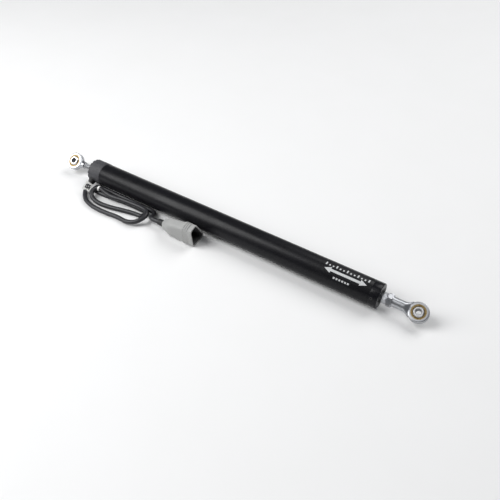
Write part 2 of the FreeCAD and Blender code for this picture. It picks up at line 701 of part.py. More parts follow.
# ---------------------------------------------------------------- build
NODES = {
    "housing_tube": housing_tube,
    "rear_cap": rear_cap,
    "rear_o_ring": lambda: ring(TUBE_X0 + 5.5, 10.12, 0.8),
    "front_cap": front_cap,
    "front_o_ring": lambda: ring(TUBE_X1 - 7.9, 10.12, 0.8),
    "bush_set_screws": bush_set_screws,
    "rod_bush": rod_bush,
    "rod_wiper_seal": rod_wiper_seal,
    "seal_retaining_ring": seal_retaining_ring,
    "board_carrier": board_carrier,
    "track_board": track_board,
    "resistive_track": lambda: track_strip(-3.0),
    "collector_track": lambda: track_strip(3.0),
    "terminal_pins": terminal_pins,
    "lead_wires": lead_wires,
    "rear_bumper": lambda: end_bumper(CARRIAGE_X0 - 5.0),
    "front_bumper": lambda: end_bumper(TUBE_X1 - FRONT_SPIGOT_LENGTH - 4.1),
    "wiper_carriage": wiper_carriage,
    "wiper_fingers": wiper_fingers,
    "sensor_shaft": sensor_shaft,
    "shaft_clips": shaft_clips,
    "jam_nut": jam_nut,
    "front_rod_end_housing": front_rod_end_housing,
    "front_rod_end_race": lambda: rod_end_race(FRONT_EYE_X, FRONT_EYE_ROLL),
    "front_rod_end_ball": lambda: rod_end_ball(FRONT_EYE_X, FRONT_EYE_ROLL),
    "rear_rod_end_housing": rear_rod_end_housing,
    "rear_rod_end_race": lambda: rod_end_race(REAR_EYE_X, REAR_EYE_ROLL),
    "rear_rod_end_ball": lambda: rod_end_ball(REAR_EYE_X, REAR_EYE_ROLL),
    "cable_gland": cable_gland,
    "cable_entry": cable_entry,
    "cable": cable,
    "cable_label": cable_label,
    "cable_marker_band": cable_marker_band,
    "connector_shell": connector_shell,
    "connector_insert": connector_insert,
    "connector_pins": connector_pins,
    "connector_boot": connector_boot,
}

os.makedirs("parts", exist_ok=True)
for name, build in NODES.items():
    shape = build()
    shape.exportStep("parts/%s.step" % name)
    print("%-24s solids %d  volume %.1f  valid %s" % (name, len(shape.Solids), shape.Volume, shape.isValid()))
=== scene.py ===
import json
import math

import bmesh
import bpy
from mathutils import Matrix, Vector


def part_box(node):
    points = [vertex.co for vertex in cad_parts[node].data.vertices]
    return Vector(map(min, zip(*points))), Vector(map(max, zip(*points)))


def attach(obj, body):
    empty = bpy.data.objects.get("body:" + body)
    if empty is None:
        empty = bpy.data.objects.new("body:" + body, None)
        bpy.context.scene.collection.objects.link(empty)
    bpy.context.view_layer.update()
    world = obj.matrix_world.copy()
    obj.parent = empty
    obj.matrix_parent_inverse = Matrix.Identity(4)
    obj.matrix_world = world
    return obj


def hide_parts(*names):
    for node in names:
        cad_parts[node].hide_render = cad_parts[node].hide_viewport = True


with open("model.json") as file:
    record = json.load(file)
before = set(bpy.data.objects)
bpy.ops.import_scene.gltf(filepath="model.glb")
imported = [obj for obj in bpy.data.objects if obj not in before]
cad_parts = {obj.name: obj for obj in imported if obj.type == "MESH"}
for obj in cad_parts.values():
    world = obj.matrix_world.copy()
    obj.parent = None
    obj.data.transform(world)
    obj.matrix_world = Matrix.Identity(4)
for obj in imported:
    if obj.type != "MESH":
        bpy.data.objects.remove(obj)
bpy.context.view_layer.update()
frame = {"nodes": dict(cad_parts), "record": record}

# Shapes are built in millimetres, in the CAD frame, and scaled to metres once they are whole.
MM = 0.001


# -------- places taken from the frame
def node_box(node):
    low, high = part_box(node)
    return low / MM, high / MM


def mount(name):
    """Place in millimetres and axis of one of the record's mounts."""
    row = next(m for m in frame["record"]["mounts"] if m["name"] == name)
    return Vector(row["pos_m"]) / MM, Vector(row["axis"])


tube_low, tube_high = node_box("housing_tube")
cap_low, cap_high = node_box("rear_cap")
TUBE_X0, TUBE_X1 = tube_low.x, tube_high.x
TUBE_R = (tube_high.y - tube_low.y) / 2
AXIS_Z = (tube_high.z + tube_low.z) / 2
REAR_FACE_X = cap_low.x
FRONT_FACE_X = node_box("front_cap")[1].x
CAP_R = (cap_high.y - cap_low.y) / 2
ON_AXIS = Matrix.Translation((0, 0, AXIS_Z))

TUBE_BORE_R = 11.0
SPIGOT_R = 10.98
THREAD_R = 3.0
THREAD_PITCH = 1.0
THREAD_DEPTH = 0.45
SHAFT_R = 4.0
SEAL_R = 7.5
SEAM = 0.05  # the fine gap between the tube and each cap
FIT_GAP = 0.02  # between pieces that fit together
HOLE_GAP = 0.03  # round a screw or pin in its hole
TUBE_SEGMENTS = 192
EYE_SEGMENTS = 144


# -------- mesh tools
REVOLVE_WELD = 1e-5
BOOLEAN_WELD = 1e-4
CREASE = math.radians(32)


def rounded(corners, steps=4):
    """A closed outline: a corner (a, b, radius) becomes an arc, a corner (a, b) stays sharp."""
    points = []
    for i, corner in enumerate(corners):
        here = Vector(corner[:2])
        if len(corner) == 2:
            points.append(tuple(here))
            continue
        before = (Vector(corners[i - 1][:2]) - here).normalized()
        after = (Vector(corners[(i + 1) % len(corners)][:2]) - here).normalized()
        half = before.angle(after) / 2
        turn = math.pi - 2 * half
        centre = here + (before + after).normalized() * (corner[2] / math.sin(half))
        start = here + before * (corner[2] / math.tan(half)) - centre
        end = here + after * (corner[2] / math.tan(half)) - centre
        for step in range(steps + 1):
            share = step / steps
            mix = start * math.sin((1 - share) * turn) + end * math.sin(share * turn)
            points.append(tuple(centre + mix / math.sin(turn)))
    return points


def revolve(outline, segments=96, reshape=None):
    """Turn a closed (x, r) outline about local X. reshape(x, r, angle) may change each radius."""
    bm = bmesh.new()
    columns = []
    for i in range(segments):
        angle = math.tau * i / segments
        column = []
        for x, r in outline:
            if reshape:
                r = reshape(x, r, angle)
            column.append(bm.verts.new((x, r * math.cos(angle), r * math.sin(angle))))
        columns.append(column)
    count = len(outline)
    for i, column in enumerate(columns):
        following = columns[(i + 1) % segments]
        for j in range(count):
            k = (j + 1) % count
            if outline[j][1] > 0 or outline[k][1] > 0:
                bm.faces.new((column[j], column[k], following[k], following[j]))
    bmesh.ops.remove_doubles(bm, verts=bm.verts, dist=REVOLVE_WELD)
    bmesh.ops.recalc_face_normals(bm, faces=bm.faces)
    return bm


def bar(x0, x1, radius, segments=48):
    """A plain round bar along local X."""
    return revolve([(x0, 0), (x0, radius), (x1, radius), (x1, 0)], segments)


def skin(sections):
    """Join rings of points, all with the same count, into one closed surface with flat ends."""
    bm = bmesh.new()
    rings = [[bm.verts.new(p) for p in section] for section in sections]
    for near, far in zip(rings, rings[1:]):
        for i in range(len(near)):
            k = (i + 1) % len(near)
            bm.faces.new((near[i], near[k], far[k], far[i]))
    bm.faces.new(rings[0])
    bm.faces.new(rings[-1])
    bmesh.ops.recalc_face_normals(bm, faces=bm.faces)
    return bm


def moved(bm, matrix):
    bm.transform(matrix)
    return bm


def facing(origin, axis, up=(0, 0, 1)):
    """Matrix that takes local X to axis and local Z as near as it can to up."""
    x = Vector(axis).normalized()
    y = Vector(up).cross(x).normalized()
    turn = Matrix((x, y, x.cross(y))).transposed()
    return Matrix.Translation(origin) @ turn.to_4x4()


def to_mesh(bm, name="part"):
    """A mesh made from a shape, which is used up."""
    mesh = bpy.data.meshes.new(name)
    bm.to_mesh(mesh)
    bm.free()
    return mesh


def in_scene(name, data):
    obj = bpy.data.objects.new(name, data)
    bpy.context.scene.collection.objects.link(obj)
    return obj


def evaluated_mesh(obj):
    """An object's mesh with its modifiers applied, or the mesh of a curve."""
    depsgraph = bpy.context.evaluated_depsgraph_get()
    return bpy.data.meshes.new_from_object(obj.evaluated_get(depsgraph), depsgraph=depsgraph)


def combined(bm, tool, operation):
    """bm with the closed shape tool cut away (DIFFERENCE) or joined on (UNION)."""
    base = in_scene("part", to_mesh(bm))
    cutter = in_scene("part", to_mesh(tool))
    modifier = base.modifiers.new("combine", "BOOLEAN")
    modifier.operation = operation
    modifier.solver = "EXACT"
    modifier.object = cutter
    result = bmesh.new()
    result.from_mesh(evaluated_mesh(base))
    for part in (base, cutter):
        bpy.data.objects.remove(part)
    bmesh.ops.remove_doubles(result, verts=result.verts, dist=BOOLEAN_WELD)
    bmesh.ops.dissolve_degenerate(result, edges=result.edges, dist=BOOLEAN_WELD)
    return result


def joined(shapes):
    """Separate closed shapes in one mesh."""
    whole = shapes[0]
    for shape in shapes[1:]:
        mesh = to_mesh(shape)
        whole.from_mesh(mesh)
        bpy.data.meshes.remove(mesh)
    return whole


WEAR = "wear"
FULL_WEAR_BEND = math.radians(30)


def mark_wear(bm):
    """Store how sharply the surface turns outward at each vertex, for wear along edges."""
    layer = bm.verts.layers.float.new(WEAR)
    for vert in bm.verts:
        bend = 0.0
        for edge in vert.link_edges:
            if len(edge.link_faces) == 2:
                bend = max(bend, edge.calc_face_angle_signed(0.0))
        vert[layer] = min(1.0, bend / FULL_WEAR_BEND)


def piece(name, bm, look, body, *nodes, slot=None):
    """Make a finished shape an object that rides on a body and stands for CAD nodes.

    The slot argument is not used."""
    slot = slot or look
    mark_wear(bm)
    bm.transform(Matrix.Scale(MM, 4))
    mesh = to_mesh(bm, name)
    mesh.shade_smooth()
    mesh.set_sharp_from_angle(angle=CREASE)
    mesh.materials.append(LOOK[look])
    obj = in_scene(name, mesh)
    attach(obj, body)
    if nodes:
        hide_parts(*nodes)
    return obj


# -------- materials
# Patterns that the surfaces share: sizes in millimetres, ranges in a pattern's 0 to 1
NOISE_ROUGHNESS = 0.55
CLOUD_SIZE = 0.6  # as a share of the mottling
CLOUD_DEPTH = 0.04  # how far clouds move the roughness
SCRATCH_SIZE = 0.5
SCRATCH_STRETCH = (26.0, 1.0, 1.0)
SCRATCH_RANGE = (0.66, 0.74)
WORN_SIZE = 0.9
WORN_RANGE = (0.42, 0.62)


class Graph:
    """A material's node tree, with short ways to add and join nodes."""

    def __init__(self):
        self.material = bpy.data.materials.new("unnamed")
        self.material.use_nodes = True
        self.tree = self.material.node_tree
        self.shader = self.tree.nodes["Principled BSDF"]

    def add(self, kind, inputs=(), **settings):
        node = self.tree.nodes.new("ShaderNode" + kind)
        for key, value in settings.items():
            setattr(node, key, value)
        for key, value in dict(inputs).items():
            self.feed(node.inputs[key], value)
        return node

    def feed(self, socket, value):
        """Link a node's first output, or an output socket, or set a plain value."""
        if isinstance(value, bpy.types.Node):
            value = value.outputs[0]
        if isinstance(value, bpy.types.NodeSocket):
            self.tree.links.new(value, socket)
        else:
            socket.default_value = value

    def coordinates(self, size, stretch=(1, 1, 1)):
        """Object coordinates scaled so that one texture unit is size millimetres."""
        place = self.add("TexCoord").outputs["Object"]
        scale = [1 / (size * MM * axis) for axis in stretch]
        return self.add("Mapping", {"Vector": place, "Scale": scale})

    def noise(self, size, stretch=(1, 1, 1), detail=4.0):
        at = self.coordinates(size, stretch)
        return self.add("TexNoise", {"Vector": at, "Scale": 1.0, "Detail": detail,
                                     "Roughness": NOISE_ROUGHNESS})

    def span(self, value, low, high, source=(0.3, 0.7)):
        """Map a 0 to 1 pattern to the range low to high."""
        return self.add("MapRange", {0: value, 1: source[0], 2: source[1], 3: low, 4: high})

    def blend(self, share, first, second):
        node = self.add("Mix", {0: share}, data_type="RGBA")
        self.feed(node.inputs[6], first)
        self.feed(node.inputs[7], second)
        return node.outputs[2]

    def maths(self, operation, first, second):
        return self.add("Math", {0: first, 1: second}, operation=operation)


def rgb(red, green, blue):
    return (red, green, blue, 1.0)


def surface(colour, tint, roughness, grain, bump, mottle, stretch=(1, 1, 1), worn=None,
            scratches=0.0, **fixed):
    """A material mottled between two colours, with grain in its roughness and relief.

    roughness is (smoothest, roughest). grain and mottle are sizes and bump is a height in
    millimetres, stretch draws the grain out along an axis, worn is the colour rubbed edges
    show, and scratches is the height of sparse fine scratches."""
    graph = Graph()
    mottling = graph.span(graph.noise(mottle, detail=3.0), 0.0, 1.0)
    grains = graph.noise(grain, stretch)
    base = graph.blend(mottling, rgb(*colour), rgb(*tint))
    rough = graph.span(grains, *roughness)
    clouds = graph.noise(mottle * CLOUD_SIZE, detail=2.0)
    rough = graph.maths("ADD", rough, graph.span(clouds, -CLOUD_DEPTH, CLOUD_DEPTH))
    height = graph.maths("MULTIPLY", grains, bump * MM)
    if scratches:
        lines = graph.noise(SCRATCH_SIZE, SCRATCH_STRETCH, detail=1.0)
        cut = graph.span(lines, 0.0, 1.0, source=SCRATCH_RANGE)
        height = graph.maths("SUBTRACT", height, graph.maths("MULTIPLY", cut, scratches * MM))
    if worn:
        edge = graph.add("Attribute", attribute_name=WEAR).outputs["Fac"]
        broken = graph.span(graph.noise(WORN_SIZE, detail=5.0), 0.0, 1.0, source=WORN_RANGE)
        base = graph.blend(graph.maths("MULTIPLY", edge, broken), base, rgb(*worn))
    relief = graph.add("Bump", {"Height": height, "Distance": 1.0, "Strength": 1.0})
    graph.feed(graph.shader.inputs["Base Color"], base)
    graph.feed(graph.shader.inputs["Roughness"], rough)
    graph.feed(graph.shader.inputs["Normal"], relief)
    for key, value in fixed.items():
        graph.shader.inputs[key.replace("_", " ")].default_value = value
    return graph.material


def black_anodised():
    """Dyed aluminium: nearly black, satin, with faint lines drawn along the extrusion."""
    return surface((0.002, 0.002, 0.003), (0.004, 0.004, 0.006), (0.33, 0.36), grain=0.35,
                   bump=0.0015, stretch=(40, 1, 1), mottle=30.0, scratches=0.0015,
                   worn=(0.03, 0.03, 0.033), IOR=1.29)


def turned_black():
    """The front cap: the same dye over fine rings left by the lathe."""
    return surface((0.002, 0.002, 0.003), (0.004, 0.004, 0.006), (0.22, 0.30), grain=0.25,
                   bump=0.0025, stretch=(1, 14, 14), mottle=12.0, worn=(0.025, 0.025, 0.028),
                   IOR=1.29)


def textured_black():
    """The rear cap: moulded with a fine spark-eroded grain."""
    return surface((0.036, 0.036, 0.041), (0.062, 0.062, 0.069), (0.5, 0.7), grain=0.5, bump=0.12,
                   mottle=3.0, worn=(0.085, 0.085, 0.09))


def zinc_plated():
    """Bright zinc on forged and turned steel, lightly clouded."""
    return surface((0.47, 0.48, 0.50), (0.40, 0.41, 0.43), (0.28, 0.4), grain=0.3, bump=0.006,
                   stretch=(1, 5, 5), mottle=3.5, worn=(0.52, 0.52, 0.52), Metallic=1.0)


def polished_steel():
    return surface((0.48, 0.48, 0.5), (0.42, 0.43, 0.45), (0.12, 0.22), grain=0.2, bump=0.001,
                   stretch=(1, 8, 8), mottle=4.0, worn=(0.66, 0.66, 0.66), Metallic=1.0)


def reamed_steel():
    """Inside the balls' bores: the same steel painted much darker, as painted shade in the bore.
    """
    return surface((0.10, 0.10, 0.105), (0.16, 0.16, 0.165), (0.3, 0.42), grain=0.2, bump=0.004,
                   stretch=(1, 1, 10), mottle=2.0, Metallic=1.0)


def race_brass():
    return surface((0.30, 0.215, 0.09), (0.23, 0.16, 0.065), (0.38, 0.5), grain=0.22, bump=0.006,
                   mottle=2.0, worn=(0.38, 0.3, 0.16), Metallic=1.0)


def bush_bronze():
    return surface((0.5, 0.34, 0.18), (0.38, 0.25, 0.13), (0.3, 0.45), grain=0.3, bump=0.01,
                   mottle=4.0, Metallic=1.0)


def contact_brass():
    return surface((0.83, 0.65, 0.33), (0.7, 0.52, 0.25), (0.15, 0.28), grain=0.3, bump=0.003,
                   mottle=3.0, Metallic=1.0)


def dark_steel():
    return surface((0.05, 0.05, 0.055), (0.09, 0.085, 0.08), (0.3, 0.45), grain=0.3, bump=0.006,
                   mottle=2.0, worn=(0.3, 0.3, 0.3), Metallic=1.0)


def black_rubber():
    return surface((0.012, 0.012, 0.013), (0.022, 0.022, 0.023), (0.45, 0.62), grain=0.3,
                   bump=0.012, mottle=4.0, worn=(0.04, 0.04, 0.04))


def natural_plastic():
    return surface((0.74, 0.72, 0.65), (0.66, 0.63, 0.55), (0.35, 0.5), grain=0.6, bump=0.01,
                   mottle=6.0, Subsurface_Weight=0.05)


def board_laminate():
    return surface((0.2, 0.13, 0.06), (0.15, 0.1, 0.045), (0.35, 0.5), grain=0.5, bump=0.006,
                   stretch=(1, 3, 1), mottle=3.0)


def track_ink():
    return surface((0.02, 0.02, 0.02), (0.04, 0.04, 0.04), (0.4, 0.6), grain=0.2, bump=0.008,
                   mottle=3.0)


def wire_insulation():
    return surface((0.55, 0.06, 0.04), (0.42, 0.04, 0.03), (0.25, 0.38), grain=0.5, bump=0.006,
                   mottle=4.0)


def cable_sheath():
    """Extruded sheath: satin black, lightly clouded."""
    return surface((0.014, 0.014, 0.017), (0.026, 0.026, 0.030), (0.36, 0.5), grain=0.4, bump=0.02,
                   mottle=5.0)


def label_white():
    return surface((0.93, 0.93, 0.9), (0.87, 0.87, 0.84), (0.28, 0.42), grain=1.2, bump=0.02,
                   mottle=4.0, worn=(0.6, 0.6, 0.58))


def label_print_ink():
    return surface((0.03, 0.03, 0.033), (0.06, 0.06, 0.065), (0.4, 0.55), grain=0.3, bump=0.004,
                   mottle=1.5)


def marking_white():
    """Pale ink on the tube, a little uneven."""
    return surface((0.64, 0.65, 0.65), (0.5, 0.51, 0.52), (0.4, 0.55), grain=0.25, bump=0.004,
                   mottle=1.2)


def connector_grey():
    """Glass-filled nylon, mid grey, with faint flow marks."""
    return surface((0.355, 0.36, 0.355), (0.385, 0.388, 0.38), (0.44, 0.54), grain=0.35,
                   bump=0.008, stretch=(3, 1, 1), mottle=7.0, worn=(0.45, 0.45, 0.44))


def connector_black():
    return surface((0.014, 0.014, 0.015), (0.026, 0.026, 0.028), (0.4, 0.55), grain=0.35,
                   bump=0.015, mottle=4.0, worn=(0.05, 0.05, 0.05))


def floor_paper():
    return surface((0.90, 0.90, 0.90), (0.89, 0.89, 0.888), (0.6, 0.75), grain=1.5, bump=0.01,
                   mottle=80.0, Specular_IOR_Level=0.25)


MAKERS = (black_anodised, turned_black, textured_black, zinc_plated, polished_steel,
          reamed_steel, race_brass, bush_bronze, contact_brass, dark_steel, black_rubber,
          natural_plastic, board_laminate, track_ink, wire_insulation, cable_sheath, label_white,
          label_print_ink, marking_white, connector_grey, connector_black, floor_paper)
LOOK = {}
for make in MAKERS:
    LOOK[make.__name__] = make()
    LOOK[make.__name__].name = make.__name__

INNER_NODES = {
    "rear_o_ring": "black_rubber", "front_o_ring": "black_rubber", "rod_bush": "bush_bronze",
    "board_carrier": "connector_black", "track_board": "board_laminate",
    "resistive_track": "track_ink", "collector_track": "track_ink",
    "terminal_pins": "contact_brass", "lead_wires": "wire_insulation",
    "rear_bumper": "black_rubber", "front_bumper": "black_rubber",
    "wiper_carriage": "natural_plastic", "wiper_fingers": "contact_brass",
    "shaft_clips": "dark_steel", "cable_entry": "cable_sheath",
}


def dress_inner_nodes():
    """Give the CAD nodes that are kept as they are the materials of this script."""
    for node, look in INNER_NODES.items():
        mesh = frame["nodes"][node].data
        mesh.materials.clear()
        mesh.materials.append(LOOK[look])


# -------- threads and hexagons
STATIONS_PER_PITCH = 8
GROOVE_SLOPE = 1.6
CREST_SHARE = 0.3
HEX_BEVEL = 0.7


def thread_stations(x0, x1):
    """x places close enough to carry a screw thread."""
    count = int((x1 - x0) / (THREAD_PITCH / STATIONS_PER_PITCH))
    return [x0 + (x1 - x0) * i / count for i in range(count + 1)]


def threaded(x0, x1):
    """A reshape that cuts a helical thread into radii between x0 and x1."""
    def reshape(x, r, angle):
        if r <= 0 or not x0 <= x <= x1:
            return r
        turn = (x / THREAD_PITCH - angle / math.tau) % 1.0
        groove = min(1.0, max(0.0, GROOVE_SLOPE * abs(2 * turn - 1) - CREST_SHARE))
        fade = min(1.0, (x - x0) / THREAD_PITCH, (x1 - x) / THREAD_PITCH)
        return r - THREAD_DEPTH * groove * max(0.0, fade)
    return reshape


def from_flat(angle):
    """Angle from the middle of the nearest of a hexagon's flats."""
    return (angle + math.pi / 6) % (math.pi / 3) - math.pi / 6


def bored_hexagon(x0, x1, flats):
    """A threaded part's hexagon along local X, with turned corners and a plain bore."""
    flat_r, corner_r = flats / 2, flats / math.sqrt(3)
    chamfer, face_r = 0.3, flat_r - 0.4
    steps = 4
    ramp = [HEX_BEVEL * i / steps for i in range(steps + 1)]
    stations = [x0 + rise for rise in ramp] + [x1 - rise for rise in reversed(ramp)]
    outline = [(x0, THREAD_R + chamfer), (x0, face_r)] + [(x, flat_r) for x in stations]
    outline += [(x1, face_r), (x1, THREAD_R + chamfer), (x1 - chamfer, THREAD_R),
                (x0 + chamfer, THREAD_R)]

    def reshape(x, r, angle):
        if r < flat_r - 0.01:
            return r
        end = min(x - x0, x1 - x)
        cone = flat_r + (corner_r - flat_r) * min(1.0, max(0.0, end / HEX_BEVEL))
        return min(flat_r / math.cos(from_flat(angle)), cone)
    return revolve(outline, EYE_SEGMENTS, reshape)


# -------- housing
def make_tube():
    edge = 0.3
    outline = rounded([(TUBE_X0, TUBE_BORE_R), (TUBE_X0, TUBE_R, edge), (TUBE_X1, TUBE_R, edge),
                       (TUBE_X1, TUBE_BORE_R)])
    tube = moved(revolve(outline, TUBE_SEGMENTS), ON_AXIS)
    piece("tube", tube, "black_anodised", "housing", "housing_tube")


RIM_NOTCHES = 16
NOTCH_LENGTH = 1.7
NOTCH_DEPTH = 1.5
NOTCH_COLUMNS = 2.4  # columns to each side of a notch's middle
COLUMNS_PER_NOTCH = 14
GLAND_X = REAR_FACE_X + 6.0
GLAND_DROP = math.radians(20.0)
GLAND_AXIS = Vector((0, -math.cos(GLAND_DROP), -math.sin(GLAND_DROP)))
GLAND_PLACE = facing((GLAND_X, 0, AXIS_Z), GLAND_AXIS)
GLAND_HOLE_R = 3.5


def notched(x, r, angle):
    """The rear rim is cut by square notches, as for a pin spanner."""
    step = (angle / math.tau * RIM_NOTCHES) % 1.0
    in_notch = abs(step - 0.5) < NOTCH_COLUMNS / COLUMNS_PER_NOTCH
    if in_notch and x < REAR_FACE_X + NOTCH_LENGTH:
        return min(r, CAP_R - NOTCH_DEPTH)
    return r


def make_rear_cap():
    face = REAR_FACE_X
    lip = face + NOTCH_LENGTH
    groove, floor, boss_end = face + 0.7, face + 2.2, face + 15.0
    seam, spigot_end = TUBE_X0 - SEAM, TUBE_X0 + 12.0
    cavity_r, boss_r = 9.0, 4.8
    outline = rounded([
        (face, THREAD_R), (face, 5.6), (groove, 5.9, 0.2), (groove, 9.6, 0.2), (face, 9.9),
        (face, CAP_R, 0.9), (lip - 0.05, CAP_R), (lip + 0.1, CAP_R), (seam, CAP_R, 0.4),
        (seam, SPIGOT_R), (spigot_end, SPIGOT_R), (spigot_end, cavity_r), (floor, cavity_r),
        (floor, boss_r), (boss_end, boss_r), (boss_end, THREAD_R)])
    cap = moved(revolve(outline, RIM_NOTCHES * COLUMNS_PER_NOTCH, notched), ON_AXIS)
    gland_hole = moved(bar(7.0, CAP_R + 3, GLAND_HOLE_R), GLAND_PLACE)
    cap = combined(cap, gland_hole, "DIFFERENCE")
    piece("end_cap_rear", cap, "textured_black", "housing", "rear_cap")


SET_SCREW_X = TUBE_X1 + 3.0
SET_SCREW_ANGLES = (160, 280, 400)
SET_SCREW_R = 1.5


def screw_place(angle):
    turn = math.radians(angle)
    direction = Vector((0, math.cos(turn), math.sin(turn)))
    return facing((SET_SCREW_X, 0, AXIS_Z), direction, up=(1, 0, 0))


def make_front_cap():
    start, face, seam = TUBE_X1 - 21.0, FRONT_FACE_X, TUBE_X1 + SEAM
    recess, seal_seat, bush_seat = face - 0.35, face - 4.0, start + 2
    hole_r, bush_r = 4.6, 6.5
    outline = rounded([
        (start, hole_r), (start, SPIGOT_R), (seam, SPIGOT_R), (seam, TUBE_R, 0.3),
        (face, TUBE_R, 0.9), (face, 9.2, 0.25), (recess, 8.9), (recess, SEAL_R, 0.15),
        (seal_seat, SEAL_R), (seal_seat, bush_r), (bush_seat, bush_r), (bush_seat, hole_r)])
    cap = moved(revolve(outline, TUBE_SEGMENTS), ON_AXIS)
    for angle in SET_SCREW_ANGLES:
        hole = moved(bar(6.0, TUBE_R + 1, SET_SCREW_R + HOLE_GAP, 32), screw_place(angle))
        cap = combined(cap, hole, "DIFFERENCE")
    piece("end_cap_front", cap, "turned_black", "housing", "front_cap", slot="black_anodised")


def make_set_screws():
    """Cup-point screws with a hexagon socket."""
    point, point_r, thread_start = 6.6, 1.1, 7.0
    top, edge = TUBE_R - 0.25, 0.15
    socket_r, socket_depth, drill_depth = 0.75, 1.1, 1.4

    def socket(x, r, angle):
        return socket_r / math.cos(from_flat(angle)) if 0 < r < 0.8 else r
    outline = [(point, 0), (point, point_r), (thread_start, SET_SCREW_R),
               (top - edge, SET_SCREW_R), (top, SET_SCREW_R - edge), (top, socket_r + 0.01),
               (top - socket_depth, socket_r), (top - drill_depth, 0)]
    screws = [moved(revolve(outline, 36, socket), screw_place(angle))
              for angle in SET_SCREW_ANGLES]
    piece("set_screws", joined(screws), "dark_steel", "housing", "bush_set_screws")


def make_seal():
    """A wiper seal whose lip reaches forward along the shaft."""
    x0 = FRONT_FACE_X - 3.9
    heel, tip = x0 + 2.1, x0 + 3.5
    outer = SEAL_R - FIT_GAP
    outline = rounded([
        (x0, SHAFT_R + 0.1), (x0, outer), (heel, outer, 0.2), (heel, SHAFT_R + 1.7, 0.3),
        (tip, SHAFT_R + 0.7, 0.25), (tip, SHAFT_R + 0.1), (x0 + 2.6, SHAFT_R + 0.05),
        (x0 + 1.5, SHAFT_R + 0.4, 0.3)])
    piece("wiper_seal", moved(revolve(outline), ON_AXIS), "black_rubber", "housing",
          "rod_wiper_seal")


def make_retaining_ring():
    """The ring in front of the seal, open at the bottom."""
    x0 = FRONT_FACE_X - 1.55
    x1 = x0 + 0.8
    inner, outer, edge = 6.4, 8.1, 0.1
    outline = rounded([(x0, inner, edge), (x0, outer, edge), (x1, outer, edge),
                       (x1, inner, edge)])
    ring = moved(revolve(outline, 120), ON_AXIS)
    half, top, bottom = 1.6, AXIS_Z, AXIS_Z - 12
    gap = skin([[(x, -half, top), (x, half, top), (x, half, bottom), (x, -half, bottom)]
                for x in (x0 - 1, x0 + 2)])
    piece("seal_clip", combined(ring, gap, "DIFFERENCE"), "dark_steel", "housing",
          "seal_retaining_ring")


# -------- marking on the tube
MARK_X0, MARK_X1 = 121.0, 166.0
MARK_RISE = 0.02
MARK_STEP = 0.8


def ink_section(s, x0, x1):
    """Four points round a pad of ink, at arc length s from the tube's top line."""
    angle = math.pi / 2 + s / TUBE_R
    points = []
    for x, rise in ((x0, -MARK_RISE), (x0, MARK_RISE), (x1, MARK_RISE), (x1, -MARK_RISE)):
        radius = TUBE_R + rise
        points.append((x, radius * math.cos(angle), AXIS_Z + radius * math.sin(angle)))
    return points


def ink_patch(*stations):
    """A thin pad of ink that follows the tube, between (arc length, x0, x1) stations."""
    sections = []
    for (s0, left0, right0), (s1, left1, right1) in zip(stations, stations[1:]):
        steps = math.ceil((s1 - s0) / MARK_STEP)
        for step in range(steps):
            share = step / steps
            sections.append(ink_section(s0 + (s1 - s0) * share, left0 + (left1 - left0) * share,
                                        right0 + (right1 - right0) * share))
    sections.append(ink_section(*stations[-1]))
    return skin(sections)


def arrow_head(tip, base, s, half):
    """An arrowhead between its tip and its base, centred on arc length s."""
    near = base - 0.03 * (base - tip)
    corners = ((s - half, near), (s, tip), (s + half, near))
    return ink_patch(*[(at, min(x, base), max(x, base)) for at, x in corners])


def make_tube_marking():
    """A travel arrow with a scale over it, and a row of dashes: generic, with no lettering."""
    patches = []
    ticks, tick_half = 12, 0.7
    long_top, short_top, foot = -1.4, 0.2, 1.9
    for i in range(ticks + 1):
        x = MARK_X0 + (MARK_X1 - MARK_X0) * i / ticks
        left, right = x - tick_half, x + tick_half
        top = long_top if i % 3 == 0 else short_top
        patches.append(ink_patch((top, left, right), (foot, left, right)))
    middle, line_half = 5.8, 1.3
    head, head_half, overlap = 7.0, 3.0, 0.2
    for end, inward in ((MARK_X0, head), (MARK_X1, -head)):
        patches.append(arrow_head(end, end + inward, middle, head_half))
    left, right = MARK_X0 + head - overlap, MARK_X1 - head + overlap
    patches.append(ink_patch((middle - line_half, left, right), (middle + line_half, left, right)))
    dashes, dash_length, pitch = 6, 1.9, 3.0
    dash_top, dash_foot = 10.9, 12.7
    for i in range(dashes):
        left = MARK_X0 + 12.0 + pitch * i
        right = left + dash_length
        patches.append(ink_patch((dash_top, left, right), (dash_foot, left, right)))
    piece("tube_marking", joined(patches), "marking_white", "housing", slot="label_white")


# -------- shaft and nut
def make_shaft():
    """The shaft, with two clip grooves at its inner end and a threaded nose."""
    low, high = node_box("sensor_shaft")
    clip_low, clip_high = node_box("shaft_clips")
    chamfer, nose_chamfer = 0.4, 0.5
    groove_r, groove_width = SHAFT_R - 0.5, 0.8
    shoulder = FRONT_FACE_X + 1.6
    thread = (shoulder + 0.1, high.x - chamfer)
    outline = [(low.x, 0), (low.x, SHAFT_R - chamfer), (low.x + chamfer, SHAFT_R)]
    for x in (clip_low.x - 0.05, clip_high.x - 0.75):
        outline += [(x, SHAFT_R), (x, groove_r), (x + groove_width, groove_r),
                    (x + groove_width, SHAFT_R)]
    outline += [(shoulder - chamfer, SHAFT_R), (shoulder, SHAFT_R - chamfer), (shoulder, THREAD_R)]
    outline += [(x, THREAD_R) for x in thread_stations(*thread)]
    outline += [(high.x, THREAD_R - nose_chamfer), (high.x, 0)]
    shaft = moved(revolve(outline, 64, threaded(*thread)), ON_AXIS)
    piece("shaft", shaft, "polished_steel", "rod", "sensor_shaft")


JAM_NUT_FLATS = 10.0


def make_jam_nut():
    low, high = node_box("jam_nut")
    nut = moved(bored_hexagon(low.x, high.x, JAM_NUT_FLATS), ON_AXIS)
    piece("lock_nut", nut, "zinc_plated", "rod", "jam_nut", slot="bright_steel")


